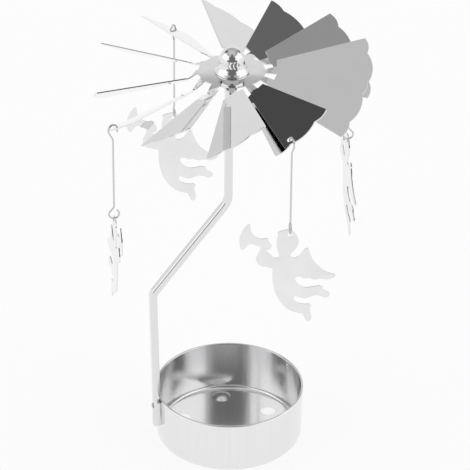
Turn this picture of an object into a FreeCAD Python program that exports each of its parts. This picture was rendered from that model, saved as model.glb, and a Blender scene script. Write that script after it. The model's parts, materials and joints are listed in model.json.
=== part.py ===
# Turning candle holder: a round steel cup for a tea light, a bent arm riveted to its wall, and a
# bladed wheel that turns on a needle at the arm's top. Four stamped angels hang from the wheel.
# Millimetres and degrees. The origin is the centre of the cup's underside, +Z is up, and -Y is the
# side that the view in the photograph is taken from.
import FreeCAD, Part
import Sketcher
import math
import os

Vector = FreeCAD.Vector
Rotation = FreeCAD.Rotation
Placement = FreeCAD.Placement

doc = FreeCAD.newDocument("candle_carousel")
dim = doc.addObject("Spreadsheet::Sheet", "dim")

SIZES = [
    ("Cup", None),
    ("cup_rim_radius", 29.0),
    ("cup_wall_radius", 28.7),
    ("cup_foot_radius", 28.6),
    ("cup_height", 21.9),
    ("cup_sheet", 0.7),
    ("cup_corner_radius", 2.4),
    ("cup_hem_height", 1.3),
    ("air_hole_diameter", 6.0),
    ("air_hole_reach", 19.6),
    ("air_hole_angle", 38.3),
    ("air_hole_count", 3),
    ("dome_reach", 21.8),
    ("dome_diameter", 8.0),
    ("dome_height", 1.4),
    ("pip_angle", 36.0),
    ("pip_diameter", 2.6),
    ("pip_height", 0.5),
    ("pip_drop", 2.7),
    ("Arm", None),
    ("arm_angle", 161.0),
    ("arm_depth", 2.6),
    ("arm_sheet", 0.6),
    ("arm_fold_radius", 0.9),
    ("arm_foot_height", 9.3),
    ("arm_lean", 1.1),
    ("arm_low_bend_height", 70.8),
    ("arm_high_bend_height", 106.5),
    ("arm_top_gap", 6.9),
    ("arm_bend_radius", 6.0),
    ("hem_notch_bottom", 19.8),
    ("hem_notch_height", 3.2),
    ("hem_notch_depth", 1.3),
    ("seat_gap", 0.05),
    ("cut_overrun", 1.0),
    ("Arm rivet", None),
    ("rivet_height", 18.3),
    ("rivet_shank_diameter", 1.4),
    ("rivet_head_diameter", 2.4),
    ("rivet_head_thickness", 0.45),
    ("rivet_hole_gap", 0.05),
    ("Needle", None),
    ("needle_diameter", 1.9),
    ("needle_grip_length", 9.0),
    ("needle_point_length", 3.4),
    ("needle_stand_off", 0.9),
    ("pivot_gap", 0.05),
    ("Wheel", None),
    ("wheel_height", 160.9),
    ("wheel_sheet", 0.5),
    ("wheel_angle", 32.3),
    ("blade_count", 12),
    ("blade_half_angle", 14.1),
    ("blade_pitch", 33.4),
    ("blade_corner_reach", 50.9),
    ("blade_notch_depth", 0.5),
    ("blade_wide_scallop", 1.7),
    ("blade_small_scallop", 0.9),
    ("blade_shoulder_reach", 16.6),
    ("neck_width", 3.2),
    ("neck_start_reach", 12.9),
    ("disc_radius", 12.4),
    ("hook_hole_diameter", 2.0),
    ("hook_hole_inset", 2.5),
    ("hook_hole_angle", 5.4),
    ("hook_count", 4),
    ("Hub", None),
    ("cap_brim_radius", 6.5),
    ("cap_brim_thickness", 0.6),
    ("cap_neck_radius", 4.8),
    ("cap_neck_height", 4.4),
    ("cap_height", 9.6),
    ("cap_stem_radius", 3.2),
    ("cap_lip_radius", 3.9),
    ("cap_lip_thickness", 0.45),
    ("cap_bore_radius", 2.5),
    ("cap_bore_height", 6.6),
    ("washer_radius", 4.9),
    ("washer_thickness", 0.6),
    ("hub_gap", 0.05),
    ("bearing_height", 3.2),
    ("bearing_cone_depth", 2.3),
    ("bearing_cone_radius", 1.9),
    ("bearing_gap", 0.02),
    ("Hooks", None),
    ("wire_diameter", 0.7),
    ("hook_arch_radius", 1.75),
    ("hook_tail_length", 1.6),
    ("hook_shoulder_drop", 1.0),
    ("hook_shank_drop", 4.4),
    ("hook_bend_radius", 1.0),
    ("hook_length", 36.0),
    ("hook_turn", 17.0),
    ("ring_radius", 1.9),
    ("ring_neck_height", 2.9),
    ("ring_open_angle", 60.0),
    ("Angels", None),
    ("angel_width", 36.0),
    ("angel_height", 44.0),
    ("angel_sheet", 0.5),
    ("angel_hole_diameter", 2.0),
    ("hang_gap", 0.05),
]

row = 1
for alias, value in SIZES:
    dim.set(f"A{row}", alias)
    if value is not None:
        dim.set(f"B{row}", str(value))
        dim.setAlias(f"B{row}", alias)
    row += 1
doc.recompute()


def size(alias):
    """A size from the sheet, as a plain number."""
    return float(dim.get(alias))


def worth(text):
    """What an expression over the sheet's sizes comes to."""
    return float(dim.evalExpression(text))


# Steps that several pieces use


def pin(sketch, edge, point, across, up):
    """Hold a point of an edge at expressions over the sheet, counted from the sketch's origin."""
    for kind, axis, text in (("DistanceX", -2, across), ("DistanceY", -1, up)):
        if text is None:
            continue
        if text == "0":
            sketch.addConstraint(Sketcher.Constraint("PointOnObject", edge, point, axis))
            continue
        rule = Sketcher.Constraint(kind, -1, 1, edge, point, worth(text))
        sketch.setExpression(f"Constraints[{sketch.addConstraint(rule)}]", text)


def draw_outline(sketch, outline):
    """Draw a closed outline whose corners and arc centres are expressions over the sheet.

    A corner is (across, up), reached by a line, or (across, up, centre across, centre up, turn),
    reached by an arc about that centre: turn 1 is anticlockwise and -1 is clockwise.
    """
    places = [Vector(worth(corner[0]), worth(corner[1]), 0) for corner in outline]
    turns = [corner[4] if len(corner) > 2 else 1 for corner in outline]
    for index, corner in enumerate(outline):
        start = places[index - 1]
        end = places[index]
        if len(corner) == 2:
            sketch.addGeometry(Part.LineSegment(start, end))
            continue
        centre = Vector(worth(corner[2]), worth(corner[3]), 0)
        circle = Part.Circle(centre, Vector(0, 0, 1), (start - centre).Length)
        angles = [math.atan2(end.y - centre.y, end.x - centre.x)]
        angles.insert(0, math.atan2(start.y - centre.y, start.x - centre.x))
        if turns[index] < 0:
            angles.reverse()
        sketch.addGeometry(Part.ArcOfCircle(circle, angles[0], angles[1]))
    for index, corner in enumerate(outline):
        after = (index + 1) % len(outline)
        end_point = 2 if turns[index] > 0 else 1
        next_point = 1 if turns[after] > 0 else 2
        joint = Sketcher.Constraint("Coincident", index, end_point, after, next_point)
        sketch.addConstraint(joint)
        pin(sketch, index, end_point, corner[0], corner[1])
        if len(corner) > 2:
            chord = places[index] - places[index - 1]
            flat = abs(chord.x) > abs(chord.y)
            pin(sketch, index, 3, None if flat else corner[2], corner[3] if flat else None)


def turned_piece(label, outline):
    """A body turned about its own Z axis from half an outline."""
    body = doc.addObject("PartDesign::Body", label)
    body.Label = label
    sketch = body.newObject("Sketcher::SketchObject", label + "_profile")
    for feature in body.Origin.OriginFeatures:
        if feature.Role == "XZ_Plane":
            sketch.AttachmentSupport = (feature, [""])
    sketch.MapMode = "FlatFace"
    draw_outline(sketch, outline)
    turn = body.newObject("PartDesign::Revolution", label + "_turn")
    turn.Profile = sketch
    turn.ReferenceAxis = (sketch, ["V_Axis"])
    turn.Angle = 360
    doc.recompute()
    return body


def bind(thing, **texts):
    """Bind properties to expressions. A double underscore in a name stands for a dot."""
    for name, text in texts.items():
        thing.setExpression(name.replace("__", "."), text)
    return thing


def primitive(kind, label, **texts):
    """A Part primitive whose sizes and place are expressions over the sheet."""
    return bind(doc.addObject("Part::" + kind, label), **texts)


def joined(label, pieces):
    """One solid from several pieces that touch."""
    union = doc.addObject("Part::MultiFuse", label)
    union.Shapes = pieces
    return union


def cut_away(label, base, tool):
    """A piece with a tool's shape cut out of it."""
    cut = doc.addObject("Part::Cut", label)
    cut.Base = base
    cut.Tool = tool
    return cut


def shaped(label, shape):
    """A piece whose shape is worked out below from the sheet's sizes."""
    feature = doc.addObject("Part::Feature", label)
    feature.Shape = shape
    return feature


def swept(label, section, spine):
    """A solid swept along a spine."""
    sweep = doc.addObject("Part::Sweep", label)
    sweep.Sections = [section]
    edges = [f"Edge{number + 1}" for number in range(len(spine.Shape.Edges))]
    sweep.Spine = (spine, edges)
    sweep.Solid = True
    return sweep


def rounded_path(points, radii):
    """Edges through points, with each inner corner rounded to its own radius."""
    edges = []
    reached = points[0]
    for corner, after, radius in zip(points[1:-1], points[2:], radii):
        back = (reached - corner).normalize()
        ahead = (after - corner).normalize()
        half_angle = back.getAngle(ahead) / 2
        run = radius / math.tan(half_angle)
        start = corner + back * run
        end = corner + ahead * run
        middle_way = (back + ahead).normalize()
        middle = corner + middle_way * (radius / math.sin(half_angle) - radius)
        if not start.isEqual(reached, 1e-6):
            edges.append(Part.LineSegment(reached, start).toShape())
        edges.append(Part.Arc(start, middle, end).toShape())
        reached = end
    if not reached.isEqual(points[-1], 1e-6):
        edges.append(Part.LineSegment(reached, points[-1]).toShape())
    return edges


# Cup: spun from sheet steel, with a folded hem at the rim and a round corner at the foot

hem_radius = "(dim.cup_rim_radius - dim.cup_wall_radius + dim.cup_sheet) / 2"
hem_middle = f"dim.cup_rim_radius - {hem_radius}"
hem_top = f"dim.cup_height - {hem_radius}"
corner_middle = "dim.cup_foot_radius - dim.cup_corner_radius"

cup_shell = turned_piece("cup_shell", [
    ("0", "0"),
    (corner_middle, "0"),
    ("dim.cup_foot_radius", "dim.cup_corner_radius", corner_middle, "dim.cup_corner_radius", 1),
    ("dim.cup_wall_radius", "dim.cup_height - dim.cup_hem_height"),
    ("dim.cup_rim_radius", "dim.cup_height - dim.cup_hem_height"),
    ("dim.cup_rim_radius", hem_top),
    ("dim.cup_wall_radius - dim.cup_sheet", hem_top, hem_middle, hem_top, 1),
    ("dim.cup_foot_radius - dim.cup_sheet", "dim.cup_corner_radius"),
    (corner_middle, "dim.cup_sheet", corner_middle, "dim.cup_corner_radius", -1),
    ("0", "dim.cup_sheet"),
])

# Three air holes in the floor, and three pressed domes between them that lift the candle

dome_ball = "((dim.dome_diameter / 2)^2 + dim.dome_height^2) / (2 * dim.dome_height)"
dome_centre = f"dim.cup_sheet + dim.dome_height - {dome_ball}"
air_holes = []
dome_tops = []
dome_hollows = []
for number in range(int(size("air_hole_count"))):
    hole_turn = f"dim.air_hole_angle * 1deg + {number} * 360deg / dim.air_hole_count"
    dome_turn = f"dim.air_hole_angle * 1deg + ({number} + 1 / 2) * 360deg / dim.air_hole_count"
    air_holes.append(primitive(
        "Cylinder", f"air_hole_{number + 1}",
        Radius="dim.air_hole_diameter / 2",
        Height="dim.cup_sheet + 2 * dim.cut_overrun",
        Placement__Base__x=f"dim.air_hole_reach * cos({hole_turn})",
        Placement__Base__y=f"dim.air_hole_reach * sin({hole_turn})",
        Placement__Base__z="-dim.cut_overrun"))
    dome_place = {
        "Placement__Base__x": f"dim.dome_reach * cos({dome_turn})",
        "Placement__Base__y": f"dim.dome_reach * sin({dome_turn})",
        "Placement__Base__z": dome_centre,
    }
    dome_tops.append(primitive(
        "Sphere", f"dome_top_{number + 1}",
        Radius=dome_ball,
        Angle1=f"asin(1 - (dim.dome_height + dim.cup_sheet / 2) / ({dome_ball}))",
        **dome_place))
    dome_hollows.append(primitive(
        "Sphere", f"dome_hollow_{number + 1}",
        Radius=f"{dome_ball} - dim.cup_sheet",
        **dome_place))

# A small pip pressed into the wall from outside, under the rim

pip_ball = "((dim.pip_diameter / 2)^2 + dim.pip_height^2) / (2 * dim.pip_height)"
pip_reach = f"dim.cup_wall_radius - dim.cup_sheet - dim.pip_height + {pip_ball}"
pip_place = {
    "Placement__Base__x": f"({pip_reach}) * cos(dim.pip_angle * 1deg)",
    "Placement__Base__y": f"({pip_reach}) * sin(dim.pip_angle * 1deg)",
    "Placement__Base__z": "dim.cup_height - dim.pip_drop",
}
pip_bump = primitive("Sphere", "pip_bump", Radius=pip_ball, **pip_place)
pip_hollow = primitive("Sphere", "pip_hollow", Radius=f"{pip_ball} - dim.cup_sheet", **pip_place)
wall_block = primitive(
    "Cylinder", "wall_block",
    Radius="dim.cup_wall_radius - dim.cup_sheet / 2", Height="dim.cup_height")
pip_inside = doc.addObject("Part::Common", "pip_inside")
pip_inside.Base = pip_bump
pip_inside.Tool = wall_block

# The arm's angle is counted clockwise from +X, seen from above, and any full turns are taken off
arm_way = "180 - mod(dim.arm_angle + 180; 360)"
along_arm = f"cos(({arm_way}) * 1deg)"
across_arm = f"sin(({arm_way}) * 1deg)"

rivet_hole_radius = "dim.rivet_shank_diameter / 2 + dim.rivet_hole_gap"
wall_rivet_hole = primitive(
    "Cylinder", "wall_rivet_hole",
    Radius=rivet_hole_radius,
    Height="2 * dim.arm_depth",
    Placement__Base__x=f"(dim.cup_wall_radius - dim.arm_depth) * {along_arm}",
    Placement__Base__y=f"(dim.cup_wall_radius - dim.arm_depth) * {across_arm}",
    Placement__Base__z="dim.rivet_height",
    Placement__Rotation__Yaw=arm_way,
    Placement__Rotation__Pitch="90")

cup = cut_away(
    "cup",
    joined("cup_pressed", [cup_shell] + dome_tops + [pip_inside]),
    joined("cup_cuts", air_holes + dome_hollows + [pip_hollow, wall_rivet_hole]))

# Arm: a steel strip folded into a channel, with its back turned outwards. It leans out a little above
# the cup and is bent twice further up. Its own X axis runs outwards from the wheel's axis, and the
# finished arm is turned to its place on the cup.

arm_low_reach = size("cup_wall_radius") + size("seat_gap") + size("arm_depth")
arm_high_reach = size("needle_diameter") / 2 + size("needle_stand_off") + size("arm_sheet")
arm_spine = shaped("arm_spine", Part.Wire(rounded_path(
    [
        Vector(arm_low_reach, 0, size("arm_foot_height")),
        Vector(arm_low_reach, 0, size("cup_height")),
        Vector(arm_low_reach + size("arm_lean"), 0, size("arm_low_bend_height")),
        Vector(arm_high_reach, 0, size("arm_high_bend_height")),
        Vector(arm_high_reach, 0, size("wheel_height") - size("arm_top_gap")),
    ],
    [size("arm_bend_radius")] * 3)))

back = "dim.cup_wall_radius + dim.seat_gap + dim.arm_depth"
half_width = "(dim.needle_diameter / 2 + dim.seat_gap + dim.arm_sheet)"
half_inside = "(dim.needle_diameter / 2 + dim.seat_gap)"
fold = "dim.arm_fold_radius"
arm_section = doc.addObject("Sketcher::SketchObject", "arm_section")
bind(arm_section, Placement__Base__z="dim.arm_foot_height")
draw_outline(arm_section, [
    (f"{back} - {fold}", f"-{half_width}"),
    (back, f"-{half_width} + {fold}", f"{back} - {fold}", f"-{half_width} + {fold}", 1),
    (back, f"{half_width} - {fold}"),
    (f"{back} - {fold}", half_width, f"{back} - {fold}", f"{half_width} - {fold}", 1),
    (f"{back} - dim.arm_depth", half_width),
    (f"{back} - dim.arm_depth", half_inside),
    (f"{back} - dim.arm_sheet", half_inside),
    (f"{back} - dim.arm_sheet", f"-{half_inside}"),
    (f"{back} - dim.arm_depth", f"-{half_inside}"),
    (f"{back} - dim.arm_depth", f"-{half_width}"),
])
doc.recompute()

arm_rivet_hole = primitive(
    "Cylinder", "arm_rivet_hole",
    Radius=rivet_hole_radius,
    Height="2 * dim.arm_depth",
    Placement__Base__x="dim.cup_wall_radius",
    Placement__Base__z="dim.rivet_height",
    Placement__Rotation__Pitch="90")
hem_notch = primitive(
    "Box", "hem_notch",
    Length="dim.hem_notch_depth + dim.cut_overrun",
    Width=f"2 * ({half_width} + dim.cut_overrun)",
    Height="dim.hem_notch_height",
    Placement__Base__x="dim.cup_wall_radius - dim.cut_overrun",
    Placement__Base__y=f"-{half_width} - dim.cut_overrun",
    Placement__Base__z="dim.hem_notch_bottom")
arm = cut_away(
    "arm",
    swept("arm_channel", arm_section, arm_spine),
    joined("arm_cuts", [arm_rivet_hole, hem_notch]))
bind(arm, Placement__Rotation__Yaw=arm_way)

# Arm rivet: its wide head lies on the arm's back and its flat tail inside the cup's wall

wall_rise = "(dim.cup_height - dim.cup_hem_height - dim.cup_corner_radius)"
wall_flare = "(dim.cup_wall_radius - dim.cup_foot_radius)"
below_hem = "(dim.cup_height - dim.cup_hem_height - dim.rivet_height)"
wall_at_rivet = f"dim.cup_wall_radius - {wall_flare} * {below_hem} / {wall_rise}"
rivet_seat = f"({wall_at_rivet} - dim.cup_sheet - dim.seat_gap)"
rivet_inner = f"{rivet_seat} - dim.rivet_head_thickness"
rivet_grip = f"{back} + dim.seat_gap - {rivet_seat}"
rivet_head = "dim.rivet_head_diameter / 2"
rivet_shank = "dim.rivet_shank_diameter / 2"
rivet_dome = f"(({rivet_head})^2 + dim.rivet_head_thickness^2) / (2 * dim.rivet_head_thickness)"
rivet_length = f"({rivet_grip} + 2 * dim.rivet_head_thickness)"
arm_rivet = turned_piece("arm_rivet", [
    ("0", "0"),
    (rivet_head, "0"),
    (rivet_head, "dim.rivet_head_thickness"),
    (rivet_shank, "dim.rivet_head_thickness"),
    (rivet_shank, f"{rivet_length} - dim.rivet_head_thickness"),
    (rivet_head, f"{rivet_length} - dim.rivet_head_thickness"),
    ("0", rivet_length, "0", f"{rivet_length} - {rivet_dome}", 1),
])
bind(
    arm_rivet,
    Placement__Base__x=f"({rivet_inner}) * {along_arm}",
    Placement__Base__y=f"({rivet_inner}) * {across_arm}",
    Placement__Base__z="dim.rivet_height",
    Placement__Rotation__Yaw=arm_way,
    Placement__Rotation__Pitch="90")

# Needle: a pointed pin that the arm's channel grips, standing on the wheel's axis

cap_seat = "dim.wheel_height + dim.wheel_sheet"
bearing_top = f"{cap_seat} + dim.cap_bore_height"
cone_tip = f"{bearing_top} - dim.bearing_height + dim.bearing_cone_depth"
needle_tip = f"{cone_tip} - dim.pivot_gap"
needle_foot = "dim.wheel_height - dim.arm_top_gap - dim.needle_grip_length"
needle = turned_piece("needle", [
    ("0", needle_foot),
    ("dim.needle_diameter / 2", needle_foot),
    ("dim.needle_diameter / 2", f"{needle_tip} - dim.needle_point_length"),
    ("0", needle_tip),
])

# Wheel: one stamped sheet. Twelve blades are joined to a small disc by narrow necks, and each is
# twisted about its own middle line, with its anticlockwise edge up.
# The necks are bent by hand, so each blade droops by its own angle and stands a little askew. Both
# are given in degrees in the order of the blades' numbers. Two neighbours hang lower than the rest.

sheet_middle = size("wheel_height") + size("wheel_sheet") / 2
blade_droops = (1.0, 3.1, 3.5, 4.4, 4.0, 10.2, 10.4, 3.6, 1.8, 1.4, 3.4, -1.7)
blade_skews = (-0.4, -0.8, -0.6, -1.2, -0.8, 1.5, 0.7, -0.6, -0.2, -2.1, 1.8, -1.4)


def blade_turn(number):
    """The direction of a blade's middle line, in degrees."""
    even = size("wheel_angle") + number * 360 / size("blade_count")
    return even + blade_skews[number % len(blade_skews)]


def blade_frame(number):
    """The frame of a blade: X along its middle line, Z square to its sheet."""
    droop = blade_droops[number % len(blade_droops)]
    twist = Rotation(blade_turn(number), droop, size("blade_pitch"))
    return Placement(Vector(0, 0, sheet_middle), twist)


def polar(reach, angle):
    """A point in a blade's own plane."""
    return Vector(reach * math.cos(math.radians(angle)), reach * math.sin(math.radians(angle)), 0)


def scallop(start, end, rise):
    """An arc from start to end that stands outwards by its rise."""
    middle = (start + end) / 2
    outwards = Vector(middle).normalize()
    return Part.Arc(start, middle + outwards * rise, end).toShape()


def sheet_plate(edges):
    """A flat piece of the wheel's sheet, from its outline in the middle plane."""
    face = Part.Face(Part.Wire(edges))
    face.translate(Vector(0, 0, -size("wheel_sheet") / 2))
    return face.extrude(Vector(0, 0, size("wheel_sheet")))


# The outer end has a small, a wide and a small scallop, in these shares of the blade's width
scallop_end_shares = (0.25, 0.73)


def blade_plate():
    """One blade, flat, in its own frame."""
    half = size("blade_half_angle")
    shoulder = size("blade_shoulder_reach")
    low_shoulder = Vector(shoulder, -shoulder * math.tan(math.radians(half)), 0)
    high_shoulder = Vector(shoulder, -low_shoulder.y, 0)
    low_corner = polar(size("blade_corner_reach"), -half)
    high_corner = polar(size("blade_corner_reach"), half)
    notch_reach = size("blade_corner_reach") - size("blade_notch_depth")
    notches = [polar(notch_reach, half - 2 * half * share) for share in scallop_end_shares]
    rises = (size("blade_small_scallop"), size("blade_wide_scallop"), size("blade_small_scallop"))
    ends = [high_corner] + notches + [low_corner]
    edges = [scallop(first, last, rise) for first, last, rise in zip(ends, ends[1:], rises)]
    edges.append(Part.LineSegment(low_corner, low_shoulder).toShape())
    edges.append(Part.LineSegment(low_shoulder, high_shoulder).toShape())
    edges.append(Part.LineSegment(high_shoulder, high_corner).toShape())
    return sheet_plate(edges)


def neck_end(frame, reach):
    """The neck's cross-section at a reach, as a closed wire in a frame."""
    across = size("neck_width") / 2
    up = size("wheel_sheet") / 2
    corners = [(-across, -up), (across, -up), (across, up), (-across, up)]
    points = [frame.multVec(Vector(reach, y, z)) for y, z in corners]
    return Part.makePolygon(points + points[:1])


def tongue(frame):
    """The flat stub on the disc that a neck starts from, in the frame of the disc's sheet."""
    across = size("neck_width") / 2
    inner = size("cap_stem_radius") + size("hub_gap") + size("neck_width")
    outer = size("neck_start_reach")
    corners = [Vector(inner, -across, 0), Vector(outer, -across, 0)]
    corners += [Vector(outer, across, 0), Vector(inner, across, 0)]
    edges = [Part.LineSegment(a, b).toShape() for a, b in zip(corners, corners[1:] + corners[:1])]
    plate = sheet_plate(edges)
    plate.Placement = frame * plate.Placement
    return plate


hook_step = round(size("blade_count") / size("hook_count"))
hole_reach = size("blade_corner_reach") - size("hook_hole_inset")
hole_in_blade = polar(hole_reach, -size("hook_hole_angle"))
disc_bottom = Vector(0, 0, size("wheel_height"))
wheel_pieces = [Part.makeCylinder(size("disc_radius"), size("wheel_sheet"), disc_bottom)]
wheel_holes = [Part.makeCylinder(
    size("cap_stem_radius") + size("hub_gap"), 2 * size("cut_overrun") + size("wheel_sheet"),
    disc_bottom - Vector(0, 0, size("cut_overrun")))]
for number in range(int(size("blade_count"))):
    flat_frame = Placement(Vector(0, 0, sheet_middle), Rotation(blade_turn(number), 0, 0))
    frame = blade_frame(number)
    blade = blade_plate()
    blade.Placement = frame * blade.Placement
    neck = Part.makeLoft([
        neck_end(flat_frame, size("neck_start_reach")),
        neck_end(frame, size("blade_shoulder_reach"))], True, True)
    wheel_pieces += [tongue(flat_frame), neck, blade]
    if number % hook_step == 0:
        drill = Part.makeCylinder(
            size("hook_hole_diameter") / 2, 2 * size("cut_overrun"),
            hole_in_blade - Vector(0, 0, size("cut_overrun")))
        drill.Placement = frame * drill.Placement
        wheel_holes.append(drill)
wheel = shaped("wheel", wheel_pieces[0].fuse(wheel_pieces[1:]).cut(wheel_holes))

# Hub cap: a turned bell whose stem goes down through the wheel and is rolled out under the washer

stem_bottom = f"{cap_seat} - dim.wheel_sheet - dim.washer_thickness - dim.hub_gap"
flare_out = "(dim.cap_brim_radius - dim.cap_neck_radius)"
flare_rise = "(dim.cap_neck_height - dim.cap_brim_thickness)"
flare_radius = f"({flare_out}^2 + {flare_rise}^2) / (2 * {flare_out})"
neck_top = f"{cap_seat} + dim.cap_neck_height"
hub_cap = turned_piece("hub_cap", [
    ("dim.cap_bore_radius", f"{stem_bottom} - dim.cap_lip_thickness"),
    ("dim.cap_lip_radius", f"{stem_bottom} - dim.cap_lip_thickness"),
    ("dim.cap_lip_radius", stem_bottom),
    ("dim.cap_stem_radius", stem_bottom),
    ("dim.cap_stem_radius", cap_seat),
    ("dim.cap_brim_radius", cap_seat),
    ("dim.cap_brim_radius", f"{cap_seat} + dim.cap_brim_thickness"),
    ("dim.cap_neck_radius", neck_top, f"dim.cap_neck_radius + {flare_radius}", neck_top, -1),
    ("dim.cap_neck_radius", f"{cap_seat} + dim.cap_height - dim.cap_neck_radius"),
    ("0", f"{cap_seat} + dim.cap_height", "0", f"{cap_seat} + dim.cap_height - dim.cap_neck_radius", 1),
    ("0", bearing_top),
    ("dim.cap_bore_radius", bearing_top),
])

hub_washer = turned_piece("hub_washer", [
    ("dim.cap_stem_radius + dim.hub_gap", "dim.wheel_height - dim.washer_thickness"),
    ("dim.washer_radius", "dim.wheel_height - dim.washer_thickness"),
    ("dim.washer_radius", "dim.wheel_height"),
    ("dim.cap_stem_radius + dim.hub_gap", "dim.wheel_height"),
])

# Bearing: a hard plug pressed into the cap's bore, with a cone underneath that rests on the needle

bearing = turned_piece("bearing", [
    ("0", cone_tip),
    ("dim.bearing_cone_radius", f"{bearing_top} - dim.bearing_height"),
    ("dim.cap_bore_radius - dim.bearing_gap", f"{bearing_top} - dim.bearing_height"),
    ("dim.cap_bore_radius - dim.bearing_gap", bearing_top),
    ("0", bearing_top),
])

# Hooks: bent from one wire. The open top goes through a blade's hole and over its edge, and the
# open ring at the bottom carries an angel. Each hook's own X axis points outwards, and its origin
# is the middle of its arch, where it swings.

arch = size("hook_arch_radius")
ring = size("ring_radius")
ring_middle = Vector(0, 0, -size("hook_length"))
ring_turn = Rotation(-size("hook_turn"), 0, 0)


def in_ring(reach, angle):
    """A point of the lower ring, by its angle in the ring's own upright plane."""
    across = reach * math.cos(math.radians(angle))
    up = reach * math.sin(math.radians(angle))
    return ring_middle + ring_turn.multVec(Vector(across, 0, up))


neck_angle = 90 - math.degrees(math.acos(ring / size("ring_neck_height")))
ring_start = in_ring(ring, neck_angle)
hook_edges = rounded_path(
    [
        Vector(-arch, 0, -size("hook_tail_length")),
        Vector(-arch, 0, arch),
        Vector(arch, 0, arch),
        Vector(arch, 0, -size("hook_shoulder_drop")),
        Vector(0, 0, -size("hook_shank_drop")),
        in_ring(size("ring_neck_height"), 90),
        ring_start,
    ],
    [arch, arch] + [size("hook_bend_radius")] * 3)
ring_end = in_ring(ring, 180 - size("ring_open_angle"))
hook_edges.append(Part.Arc(ring_start, in_ring(ring, 270), ring_end).toShape())
hook_spine = shaped("hook_spine", Part.Wire(hook_edges))
hook_section = shaped("hook_section", Part.Wire(Part.Circle(
    Vector(-arch, 0, -size("hook_tail_length")), Vector(0, 0, 1), size("wire_diameter") / 2).toShape()))


def hook_place(number):
    """Where a hook's origin is, and which way its X axis points."""
    frame = blade_frame(number * hook_step)
    hole = frame.multVec(hole_in_blade)
    normal = frame.Rotation.multVec(Vector(0, 0, 1))
    outwards = Vector(hole.x, hole.y, 0).normalize()
    slope = -normal.dot(outwards) / normal.z
    angle = math.degrees(math.atan2(outwards.y, outwards.x))
    return hole + (outwards + Vector(0, 0, slope)) * arch, angle


hooks = []
for number in range(int(size("hook_count"))):
    hook = swept(f"hook_{number + 1}", hook_section, hook_spine)
    middle, angle = hook_place(number)
    hook.Placement = Placement(middle, Rotation(angle, 0, 0))
    hooks.append(hook)

# Angels: flat sheet stampings of an angel that blows a trumpet, each hung by a hole in its head.
# The outline is in shares of the angel's width and height, counted from the hole. Each run is one
# smooth curve, and corners lie between the runs.

angel_run_shares = [
    [(-0.500, -0.108), (-0.517, -0.045), (-0.497, 0.050), (-0.428, 0.130)],
    [(-0.405, 0.118), (-0.398, 0.060), (-0.358, 0.010), (-0.294, -0.020), (-0.250, -0.018)],
    [(-0.222, -0.026), (-0.214, -0.052), (-0.187, -0.092), (-0.205, -0.124), (-0.236, -0.132)],
    [(-0.238, -0.156), (-0.192, -0.182), (-0.140, -0.218), (-0.114, -0.214)],
    [(-0.112, -0.186), (-0.128, -0.142), (-0.138, -0.080), (-0.122, 0.000)],
    [(-0.132, 0.028), (-0.072, 0.046), (0.012, 0.042), (0.066, -0.008), (0.088, -0.072),
     (0.060, -0.138), (0.012, -0.186), (0.010, -0.214)],
    [(0.040, -0.228), (0.104, -0.202), (0.152, -0.152), (0.184, -0.140)],
    [(0.198, -0.158), (0.220, -0.222), (0.284, -0.314), (0.372, -0.382), (0.472, -0.418)],
    [(0.474, -0.442), (0.398, -0.462), (0.322, -0.450)],
    [(0.258, -0.456), (0.206, -0.436)],
    [(0.150, -0.438), (0.112, -0.418), (0.074, -0.414)],
    [(0.058, -0.432), (0.092, -0.486), (0.158, -0.524), (0.238, -0.524), (0.318, -0.520)],
    [(0.346, -0.532), (0.356, -0.564)],
    [(0.404, -0.586), (0.422, -0.618), (0.386, -0.642), (0.330, -0.626), (0.262, -0.614),
     (0.162, -0.634), (0.100, -0.618), (0.052, -0.600)],
    [(0.048, -0.630), (0.084, -0.668), (0.154, -0.690), (0.214, -0.694)],
    [(0.236, -0.712), (0.226, -0.782), (0.232, -0.846), (0.206, -0.868), (0.172, -0.842), (0.146, -0.788)],
    [(0.046, -0.760), (-0.064, -0.682), (-0.138, -0.568), (-0.172, -0.438), (-0.174, -0.318)],
    [(-0.256, -0.294), (-0.330, -0.254), (-0.346, -0.212), (-0.316, -0.150), (-0.304, -0.094)],
    [(-0.366, -0.072), (-0.426, -0.066), (-0.458, -0.102), (-0.482, -0.116)],
]


def angel_edges():
    """The outline's edges: a smooth curve for each run and a short line between runs."""
    width = size("angel_width")
    height = size("angel_height")
    runs = [[Vector(x * width, 0, z * height) for x, z in run] for run in angel_run_shares]
    edges = []
    for run, after in zip(runs, runs[1:] + runs[:1]):
        curve = Part.BSplineCurve()
        curve.interpolate(run)
        edges.append(curve.toShape())
        edges.append(Part.LineSegment(run[-1], after[0]).toShape())
    return edges


angel_hole = Part.Wire(Part.Circle(
    Vector(0, 0, 0), Vector(0, 1, 0), size("angel_hole_diameter") / 2).toShape())
angel_outline = shaped("angel_outline", Part.makeFace(
    [Part.Wire(angel_edges()), angel_hole], "Part::FaceMakerBullseye"))

# Half a turn for the angel that the photograph shows facing the other way along its path
angel_turns = (180, 180, 180, 0)
hang_drop = size("hook_length") + ring + size("angel_hole_diameter") / 2
hang_drop -= size("wire_diameter") / 2 + size("hang_gap")

angels = []
for number, half_turn in enumerate(angel_turns):
    angel = doc.addObject("Part::Extrusion", f"angel_{number + 1}")
    angel.Base = angel_outline
    angel.DirMode = "Custom"
    angel.Dir = Vector(0, 1, 0)
    angel.Solid = True
    angel.Symmetric = True
    bind(angel, LengthFwd="dim.angel_sheet")
    middle, angle = hook_place(number)
    angel.Placement = Placement(
        middle - Vector(0, 0, hang_drop),
        Rotation(angle - size("hook_turn") + 90 + half_turn, 0, 0))
    angels.append(angel)

doc.recompute()

# Write the pieces

pieces = {"cup": cup, "arm": arm, "arm_rivet": arm_rivet, "needle": needle, "wheel": wheel}
pieces.update({"hub_cap": hub_cap, "hub_washer": hub_washer, "bearing": bearing})
for number, (hook, angel) in enumerate(zip(hooks, angels)):
    pieces[f"hook_{number + 1}"] = hook
    pieces[f"angel_{number + 1}"] = angel

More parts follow.
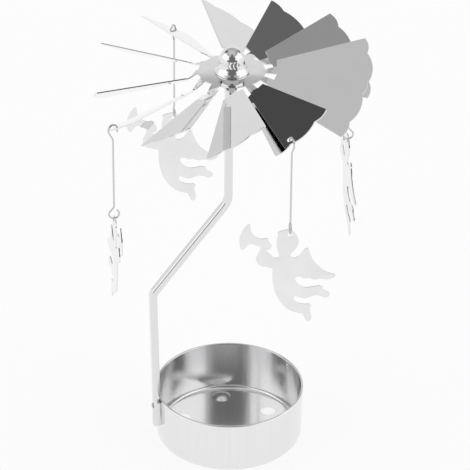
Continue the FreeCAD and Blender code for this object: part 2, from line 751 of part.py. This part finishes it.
for thing in doc.Objects:
    if "Invalid" in thing.State or "Error" in thing.State:
        raise RuntimeError(f"{thing.Label} failed: {thing.State}")
for label, piece in pieces.items():
    piece.Label = label
    shape = piece.Shape
    if shape.isNull() or not shape.isValid() or len(shape.Solids) != 1:
        raise RuntimeError(f"{label} is not one valid solid")

os.makedirs("parts", exist_ok=True)
for label, piece in pieces.items():
    piece.Shape.exportStep(f"parts/{label}.step")
    box = piece.Shape.BoundBox
    print(f"{label}: volume {piece.Shape.Volume:.1f}, x {box.XMin:.2f} to {box.XMax:.2f}, "
          f"y {box.YMin:.2f} to {box.YMax:.2f}, z {box.ZMin:.2f} to {box.ZMax:.2f}")
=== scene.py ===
# Turning candle holder with hanging angels: the finishes of its parts, the table it stands on, the
# studio and the camera. Metres, in the frame of the part: the origin is under the cup, +Z is up.
import bpy
import json
import math
from mathutils import Matrix, Vector


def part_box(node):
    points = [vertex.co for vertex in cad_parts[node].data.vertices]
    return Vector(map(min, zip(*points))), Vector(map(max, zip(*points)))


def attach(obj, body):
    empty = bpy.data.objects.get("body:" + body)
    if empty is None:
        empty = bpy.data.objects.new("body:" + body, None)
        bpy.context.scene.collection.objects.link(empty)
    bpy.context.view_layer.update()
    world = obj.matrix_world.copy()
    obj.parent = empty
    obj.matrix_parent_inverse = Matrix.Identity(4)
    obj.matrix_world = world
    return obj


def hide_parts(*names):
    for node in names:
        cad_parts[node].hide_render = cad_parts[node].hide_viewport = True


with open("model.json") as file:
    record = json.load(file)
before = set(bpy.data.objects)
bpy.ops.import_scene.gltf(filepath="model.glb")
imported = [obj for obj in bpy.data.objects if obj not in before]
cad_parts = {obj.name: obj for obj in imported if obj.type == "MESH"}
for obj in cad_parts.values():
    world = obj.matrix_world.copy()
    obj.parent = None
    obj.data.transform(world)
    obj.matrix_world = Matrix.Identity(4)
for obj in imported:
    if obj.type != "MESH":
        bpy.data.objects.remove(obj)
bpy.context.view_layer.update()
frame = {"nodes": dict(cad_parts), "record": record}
bpy.context.scene.view_settings.view_transform = "Standard"


# Cup: pressed from nickel plated sheet steel. The rim is hemmed outwards. Drawing the wall left
# fine upright lines on it, and the floor keeps the straight grain of the rolled sheet.
cup_colour = (0.855, 0.855, 0.86, 1)
cup_grain_width = 0.00035
cup_grain_length = 0.030
cup_roughness = 0.16
cup_grain_roughness = 0.22
cup_grain_share = 0.93
cup_grain_depth = 0.000004
cup_dent_size = 0.014
cup_dent_depth = 0.000012
cup_edge = 0.00008
weld_distance = 0.000002
flat_angle = math.radians(0.4)
edge_angle = math.radians(40)
edge_steps = 2
smooth_angle = math.radians(30)
flat_face_weight = 100
pattern_detail = 3
pattern_low = 0.3
pattern_high = 0.7


def plated(name, colour, roughness):
    """A bare metal finish, with its node tree and its shader."""
    finish = bpy.data.materials.new(name)
    finish.use_nodes = True
    shader = finish.node_tree.nodes["Principled BSDF"]
    shader.inputs["Base Color"].default_value = colour
    shader.inputs["Metallic"].default_value = 1
    shader.inputs["Roughness"].default_value = roughness
    return finish, finish.node_tree, shader


def pattern(tree, size, stretch=(1, 1, 1), detail=pattern_detail):
    """Cloudy marks of a given size in metres, drawn out along an axis by a stretch over 1."""
    place = tree.nodes.new("ShaderNodeTexCoord")
    mapping = tree.nodes.new("ShaderNodeMapping")
    mapping.inputs["Scale"].default_value = [1 / (size * share) for share in stretch]
    noise = tree.nodes.new("ShaderNodeTexNoise")
    noise.inputs["Scale"].default_value = 1
    noise.inputs["Detail"].default_value = detail
    tree.links.new(place.outputs["Object"], mapping.inputs["Vector"])
    tree.links.new(mapping.outputs["Vector"], noise.inputs["Vector"])
    return noise.outputs["Fac"]


def spread(tree, value, low, high):
    """The pattern's values carried to the range from low to high."""
    ranged = tree.nodes.new("ShaderNodeMapRange")
    ranged.inputs["From Min"].default_value = pattern_low
    ranged.inputs["From Max"].default_value = pattern_high
    ranged.inputs["To Min"].default_value = low
    ranged.inputs["To Max"].default_value = high
    tree.links.new(value, ranged.inputs["Value"])
    return ranged.outputs["Result"]


def raised(tree, value, depth, under=None):
    """A relief of the given depth, laid over another one."""
    bump = tree.nodes.new("ShaderNodeBump")
    bump.inputs["Strength"].default_value = 1
    bump.inputs["Distance"].default_value = depth
    tree.links.new(value, bump.inputs["Height"])
    if under:
        tree.links.new(under, bump.inputs["Normal"])
    return bump.outputs["Normal"]


def toned(tree, shader, value, colour, share):
    """Small changes of tone over the metal's colour, down to a share of it."""
    mix = tree.nodes.new("ShaderNodeMix")
    mix.data_type = "RGBA"
    mix.inputs["A"].default_value = colour
    mix.inputs["B"].default_value = [channel * share for channel in colour[:3]] + [1]
    tree.links.new(value, mix.inputs["Factor"])
    tree.links.new(mix.outputs["Result"], shader.inputs["Base Color"])


def soft_edged(name, edge, finish):
    """A node's shape with its facets joined, its curves smooth and its edges slightly rounded."""
    bodies = frame["record"]["behaviour"]["bodies"]
    body = next(body for body, members in bodies.items() if name in members)
    piece = bpy.data.objects.new(f"{name}_skin", frame["nodes"][name].data.copy())
    bpy.context.scene.collection.objects.link(piece)
    bpy.ops.object.select_all(action="DESELECT")
    piece.select_set(True)
    bpy.context.view_layer.objects.active = piece
    bpy.ops.object.mode_set(mode="EDIT")
    bpy.ops.mesh.select_all(action="SELECT")
    bpy.ops.mesh.remove_doubles(threshold=weld_distance)
    bpy.ops.mesh.dissolve_limited(angle_limit=flat_angle)
    bpy.ops.object.mode_set(mode="OBJECT")
    return finished(piece, name, body, edge, finish)


def finished(piece, name, body, edge, finish):
    """Rounds and smooths a piece, and sets it in the place of a node."""
    rounding = piece.modifiers.new("edges", "BEVEL")
    rounding.width = edge
    rounding.segments = edge_steps
    rounding.limit_method = "ANGLE"
    rounding.angle_limit = edge_angle
    bpy.ops.object.modifier_apply(modifier=rounding.name)
    bpy.ops.object.shade_smooth_by_angle(angle=smooth_angle)
    flattening = piece.modifiers.new("flat_faces", "WEIGHTED_NORMAL")
    flattening.weight = flat_face_weight
    flattening.keep_sharp = True
    bpy.ops.object.modifier_apply(modifier=flattening.name)
    piece.data.materials.clear()
    piece.data.materials.append(finish)
    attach(piece, body)
    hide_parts(name)
    return piece


cup_finish, tree, shader = plated("polished_sheet", cup_colour, cup_roughness)
grain_stretch = cup_grain_length / cup_grain_width
floor_grain = pattern(tree, cup_grain_width, (1, grain_stretch, 1))
wall_lines = pattern(tree, cup_grain_width, (1, 1, grain_stretch))
facing = tree.nodes.new("ShaderNodeNewGeometry")
split = tree.nodes.new("ShaderNodeSeparateXYZ")
tree.links.new(facing.outputs["Normal"], split.inputs["Vector"])
level = tree.nodes.new("ShaderNodeMath")
level.operation = "ABSOLUTE"
tree.links.new(split.outputs["Z"], level.inputs[0])
grain = tree.nodes.new("ShaderNodeMix")
tree.links.new(level.outputs["Value"], grain.inputs["Factor"])
tree.links.new(wall_lines, grain.inputs["A"])
tree.links.new(floor_grain, grain.inputs["B"])
clouds = pattern(tree, cup_dent_size)
tree.links.new(
    spread(tree, grain.outputs["Result"], cup_roughness, cup_grain_roughness),
    shader.inputs["Roughness"])
toned(tree, shader, grain.outputs["Result"], cup_colour, cup_grain_share)
dents = raised(tree, clouds, cup_dent_depth)
tree.links.new(raised(tree, grain.outputs["Result"], cup_grain_depth, dents), shader.inputs["Normal"])
soft_edged("cup", cup_edge, cup_finish)


# Arm: plated steel strip folded to a channel. It leans out a little above the cup and is bent twice
# further up. The rolls left fine lines along it.
strip_colour = (0.79, 0.79, 0.795, 1)
strip_line_width = 0.0003
strip_line_length = 0.02
strip_roughness = 0.08
strip_line_roughness = 0.15
strip_line_share = 0.94
strip_line_depth = 0.000003
strip_edge = 0.0001


def marked(name, colour, share, smooth, rough, size, stretch, depth=0):
    """A metal with tool marks, which are toned down to a share, rougher, and raised by any depth."""
    finish, tree, shader = plated(name, colour, smooth)
    marks = pattern(tree, size, stretch)
    tree.links.new(spread(tree, marks, smooth, rough), shader.inputs["Roughness"])
    toned(tree, shader, marks, colour, share)
    if depth:
        tree.links.new(raised(tree, marks, depth), shader.inputs["Normal"])
    return finish


strip_finish = marked(
    "polished_strip", strip_colour, strip_line_share, strip_roughness, strip_line_roughness,
    strip_line_width, (1, 1, strip_line_length / strip_line_width), strip_line_depth)
soft_edged("arm", strip_edge, strip_finish)


# Rivet and washer: small plain steel pieces, set by a press, with a dull skin and tool marks. The
# rivet holds the arm to the cup, and the washer lies under the wheel's disc.
rivet_colour = (0.50, 0.50, 0.51, 1)
rivet_mark_size = 0.0006
rivet_roughness = 0.28
rivet_mark_roughness = 0.45
rivet_mark_share = 0.8
rivet_mark_depth = 0.00002
rivet_edge = 0.00012

rivet_finish = marked(
    "rivet_steel", rivet_colour, rivet_mark_share, rivet_roughness, rivet_mark_roughness,
    rivet_mark_size, (1, 1, 1), rivet_mark_depth)
for name in ("arm_rivet", "hub_washer"):
    soft_edged(name, rivet_edge, rivet_finish)


# Needle: ground steel wire with a pointed end. Grinding left fine rings round it. The arm's top
# grips its foot, and the wheel turns on its point.
needle_colour = (0.62, 0.62, 0.63, 1)
needle_ring_step = 0.00025
needle_roughness = 0.2
needle_ring_roughness = 0.35
needle_ring_share = 0.85
needle_ring_depth = 0.000005
needle_edge = 0.00005
ring_stretch = (40, 40, 1)

needle_finish = marked(
    "needle_steel", needle_colour, needle_ring_share, needle_roughness, needle_ring_roughness,
    needle_ring_step, ring_stretch, needle_ring_depth)
soft_edged("needle", needle_edge, needle_finish)


# Wheel and angels: stamped from one mirror bright plated sheet. The blades are twisted by hand, so
# the sheet waves a little, and handling leaves faint clouds and a fine dust of specks.
sheet_colour = (0.80, 0.80, 0.80, 1)
sheet_roughness = 0.02
sheet_cloud_size = 0.012
sheet_cloud_detail = 5
sheet_cloud_roughness = 0.045
sheet_cloud_share = 0.97
sheet_wave_size = 0.018
sheet_wave_depth = 0.000003
sheet_speck_size = 0.0005
sheet_speck_detail = 2
sheet_speck_depth = 0.0000003
sheet_edge = 0.00008


def mirror_sheet(name, colour, cloud_share, wave_depth):
    """The finish of the bright sheet, with clouds down to a share of its tone, specks and waves."""
    finish, tree, shader = plated(name, colour, sheet_roughness)
    clouds = pattern(tree, sheet_cloud_size, detail=sheet_cloud_detail)
    specks = pattern(tree, sheet_speck_size, detail=sheet_speck_detail)
    cloudy = spread(tree, clouds, sheet_roughness, sheet_cloud_roughness)
    tree.links.new(cloudy, shader.inputs["Roughness"])
    toned(tree, shader, spread(tree, clouds, 0, 1), colour, cloud_share)
    waves = raised(tree, pattern(tree, sheet_wave_size, detail=0), wave_depth)
    tree.links.new(raised(tree, specks, sheet_speck_depth, waves), shader.inputs["Normal"])
    return finish


wheel_finish = mirror_sheet("mirror_sheet", sheet_colour, sheet_cloud_share, sheet_wave_depth)
soft_edged("wheel", sheet_edge, wheel_finish)


# Hub cap: turned and chromed. Its polish hides all but faint rings of the turning tool. It stands on
# the wheel's disc, and the lip of its stem is spread over the washer below.
cap_colour = (0.83, 0.83, 0.84, 1)
cap_roughness = 0.03
cap_ring_step = 0.0004
cap_ring_roughness = 0.06
cap_ring_share = 0.96
cap_ring_depth = 0.000001
cap_low, cap_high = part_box("hub_cap")
cap_brim_radius = cap_high[0]
cap_top = cap_high[2]
cap_neck_radius = 0.0048
cap_neck_height = 0.0044
cap_brim_thickness = 0.0006
cap_height = 0.0096
cap_lip_radius = 0.0039
cap_lip_thickness = 0.00045
cap_stem_radius = 0.0032
cap_bore_radius = 0.0025
cap_bore_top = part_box("bearing")[1][2]
cap_edge = 0.00015
cap_sides = 96
dome_steps = 20
flare_steps = 12


def turned(name, outline):
    """A lathe piece, open at its first ring: a ring drawn on through (radius, height) points."""
    radius, height = outline[0]
    bpy.ops.object.select_all(action="DESELECT")
    bpy.ops.mesh.primitive_circle_add(vertices=cap_sides, radius=radius, location=(0, 0, height))
    piece = bpy.context.object
    piece.name = name
    bpy.ops.object.transform_apply(location=True)
    bpy.ops.object.mode_set(mode="EDIT")
    bpy.ops.mesh.select_all(action="SELECT")
    for next_radius, next_height in outline[1:]:
        bpy.ops.mesh.extrude_region_move(
            TRANSFORM_OT_translate={"value": (0, 0, next_height - height)})
        change = next_radius / radius
        bpy.ops.transform.resize(value=(change, change, 1), center_override=(0, 0, next_height))
        radius, height = next_radius, next_height
    bpy.ops.mesh.merge(type="CENTER")
    bpy.ops.mesh.select_all(action="DESELECT")
    bpy.ops.mesh.select_non_manifold()
    bpy.ops.mesh.edge_face_add()
    bpy.ops.mesh.select_all(action="SELECT")
    bpy.ops.mesh.normals_make_consistent(inside=False)
    bpy.ops.object.mode_set(mode="OBJECT")
    return piece


cap_finish = marked(
    "turned_chrome", cap_colour, cap_ring_share, cap_roughness, cap_ring_roughness,
    cap_ring_step, ring_stretch, cap_ring_depth)
cap_seat = cap_top - cap_height
lip_top = cap_low[2] + cap_lip_thickness
flare_out = cap_brim_radius - cap_neck_radius
flare_rise = cap_neck_height - cap_brim_thickness
flare_radius = (flare_out ** 2 + flare_rise ** 2) / (2 * flare_out)
flare_turn = math.asin(flare_rise / flare_radius)
cap_outline = [
    (cap_bore_radius, cap_bore_top),
    (cap_bore_radius, cap_low[2]),
    (cap_lip_radius, cap_low[2]),
    (cap_lip_radius, lip_top),
    (cap_stem_radius, lip_top),
    (cap_stem_radius, cap_seat),
    (cap_brim_radius, cap_seat),
]
for step in range(flare_steps + 1):
    angle = flare_turn * (1 - step / flare_steps)
    cap_outline.append((
        cap_neck_radius + flare_radius * (1 - math.cos(angle)),
        cap_seat + cap_neck_height - flare_radius * math.sin(angle)))
for step in range(dome_steps):
    angle = math.pi / 2 * step / dome_steps
    cap_outline.append((
        cap_neck_radius * math.cos(angle),
        cap_top - cap_neck_radius * (1 - math.sin(angle))))
cap = turned("hub_cap_bell", cap_outline)
top_point = max(cap.data.vertices, key=lambda point: point.co.z)
top_point.co.z = cap_top
finished(cap, "hub_cap", "rotor", cap_edge, cap_finish)


# Bearing: a small turned brass plug pressed into the cap, with a cone that the needle's tip carries.
# The turning tool left fine rings on it.
brass_colour = (0.72, 0.56, 0.28, 1)
brass_ring_step = 0.00018
brass_roughness = 0.22
brass_ring_roughness = 0.4
brass_ring_share = 0.8
brass_edge = 0.00008

brass_finish = marked(
    "bearing_brass", brass_colour, brass_ring_share, brass_roughness, brass_ring_roughness,
    brass_ring_step, ring_stretch)
soft_edged("bearing", brass_edge, brass_finish)


# Hooks: bright drawn wire bent by hand, with faint lines along it from the drawing plate. Each one
# hangs in the hole of its blade and ends in an open ring for its angel.
wire_colour = (0.66, 0.66, 0.67, 1)
wire_line_width = 0.00015
wire_line_length = 0.006
wire_roughness = 0.14
wire_line_roughness = 0.3
wire_line_share = 0.85
wire_edge = 0.0001

wire_finish = marked(
    "wire", wire_colour, wire_line_share, wire_roughness, wire_line_roughness,
    wire_line_width, (1, 1, wire_line_length / wire_line_width))
for name in sorted(frame["nodes"]):
    if name.startswith("hook"):
        soft_edged(name, wire_edge, wire_finish)


# Angels: stamped from the same bright sheet as the wheel, and a little more bent by the die. The
# mirror faces of the other pieces don't show them, so that the blades stay as clear as in the studio.
angel_colour = (0.845, 0.845, 0.845, 1)
angel_cloud_share = 0.93
angel_wave_depth = 0.00003

angel_finish = mirror_sheet("angel_sheet", angel_colour, angel_cloud_share, angel_wave_depth)
for name in sorted(frame["nodes"]):
    if name.startswith("angel"):
        angel = soft_edged(name, sheet_edge, angel_finish)
        angel.visible_glossy = False


# Table: a plain white board under the part, large enough to fill the picture in low views too. Its
# own glow keeps it evenly white.
table_size = 8.0
table_colour = (0.30, 0.30, 0.30, 1)
table_glow = 0.77
table_roughness = 1

bpy.ops.object.select_all(action="DESELECT")
bpy.ops.mesh.primitive_plane_add(size=table_size, location=(0, 0, 0))
table = bpy.context.object
table.name = "table"
table_finish = bpy.data.materials.new("white_board")
table_finish.use_nodes = True
shader = table_finish.node_tree.nodes["Principled BSDF"]
shader.inputs["Base Color"].default_value = table_colour
shader.inputs["Roughness"].default_value = table_roughness
shader.inputs["Emission Color"].default_value = (1, 1, 1, 1)
shader.inputs["Emission Strength"].default_value = table_glow
table.data.materials.append(table_finish)


# Studio: a white room whose wall turns grey above a level line, with soft boxes at both sides, a
# dim front, and small flags that the bright blades show. Each card has a direction and a height,
# half its width and half its height, all in degrees, and a brightness.
half_turn = 180
wall_line = 28.85
wall_line_softness = 0.06
ceiling_line = 64
ceiling_softness = 3
low_wall = 0.875
high_wall = 0.49
ceiling = 0.62
card_softness = 1.5
cards = [
    ("right_box", -12, 26, 38, 22, 1.2),
    ("left_box", -162, 26, 36, 22, 1.2),
    ("right_card", 19, 56, 14, 8, 0.35),
    ("right_flag", 46, 28, 12, 8, 0.15),
    ("left_flag", 147, 44, 14, 9, 0.075),
    ("front_top", -88, 58, 17, 14, 0.17),
    ("front", -88, 29, 29, 18, 0.17),
    ("front_low", -88, 6, 44, 8, 0.17),
]

world = bpy.data.worlds.new("studio")
bpy.context.scene.world = world
world.use_nodes = True
tree = world.node_tree


def worked(operation, *values):
    """A sum on the studio's directions."""
    node = tree.nodes.new("ShaderNodeMath")
    node.operation = operation
    for place, value in zip(node.inputs, values):
        if isinstance(value, (int, float)):
            place.default_value = value
        else:
            tree.links.new(value, place)
    return node.outputs["Value"]


def eased(value, low, high):
    """A soft step from 0 to 1 as a value goes from low to high."""
    step = tree.nodes.new("ShaderNodeMapRange")
    step.interpolation_type = "SMOOTHSTEP"
    step.inputs["From Min"].default_value = low
    step.inputs["From Max"].default_value = high
    tree.links.new(value, step.inputs["Value"])
    return step.outputs["Result"]


def laid_over(under, shade, cover):
    """A brightness laid over another one as far as its cover says."""
    return worked(
        "ADD",
        worked("MULTIPLY", under, worked("SUBTRACT", 1, cover)),
        worked("MULTIPLY", cover, shade))


place = tree.nodes.new("ShaderNodeTexCoord")
split = tree.nodes.new("ShaderNodeSeparateXYZ")
tree.links.new(place.outputs["Generated"], split.inputs["Vector"])
turn = worked("DEGREES", worked("ARCTAN2", split.outputs["Y"], split.outputs["X"]))
lift = worked("DEGREES", worked("ARCSINE", split.outputs["Z"]))
studio_light = laid_over(low_wall, high_wall, eased(lift, wall_line - wall_line_softness, wall_line))
studio_light = laid_over(studio_light, ceiling, eased(lift, ceiling_line - ceiling_softness, ceiling_line))
for name, direction, height, half_width, half_height, brightness in cards:
    aside = worked("WRAP", worked("SUBTRACT", turn, direction), half_turn, -half_turn)
    above = worked("ABSOLUTE", worked("SUBTRACT", lift, height))
    outside = worked(
        "MAXIMUM",
        eased(worked("ABSOLUTE", aside), half_width - card_softness, half_width + card_softness),
        eased(above, half_height - card_softness, half_height + card_softness))
    studio_light = laid_over(studio_light, brightness, worked("SUBTRACT", 1, outside))
tree.links.new(studio_light, tree.nodes["Background"].inputs["Strength"])
tree.nodes["Background"].inputs["Color"].default_value = (1, 1, 1, 1)


# Camera: a long lens, looking down at the whole part. Its distance, height and slight roll are those
# that fit the rim, the foot, the arm and the wheel's disc in the picture.
picture_width = 470
focal_in_pixels = 3000.75
sensor_width = 36
camera_distance = 1.13922
camera_height_angle = math.radians(31.8565)
camera_roll = math.radians(0.5182)
camera_target = Vector((0.0016865, 0, 0.0904446))

back = Vector((0, -math.cos(camera_height_angle), math.sin(camera_height_angle)))
level_right = Vector((1, 0, 0))
level_up = Vector((0, math.sin(camera_height_angle), math.cos(camera_height_angle)))
right = level_right * math.cos(camera_roll) + level_up * math.sin(camera_roll)
up = level_up * math.cos(camera_roll) - level_right * math.sin(camera_roll)
lens = bpy.data.cameras.new("camera")
lens.sensor_width = sensor_width
lens.lens = focal_in_pixels / picture_width * sensor_width
camera = bpy.data.objects.new("camera", lens)
bpy.context.scene.collection.objects.link(camera)
stand = Matrix((right, up, back)).transposed().to_4x4()
stand.translation = camera_target + back * camera_distance
camera.matrix_world = stand
bpy.context.scene.camera = camera
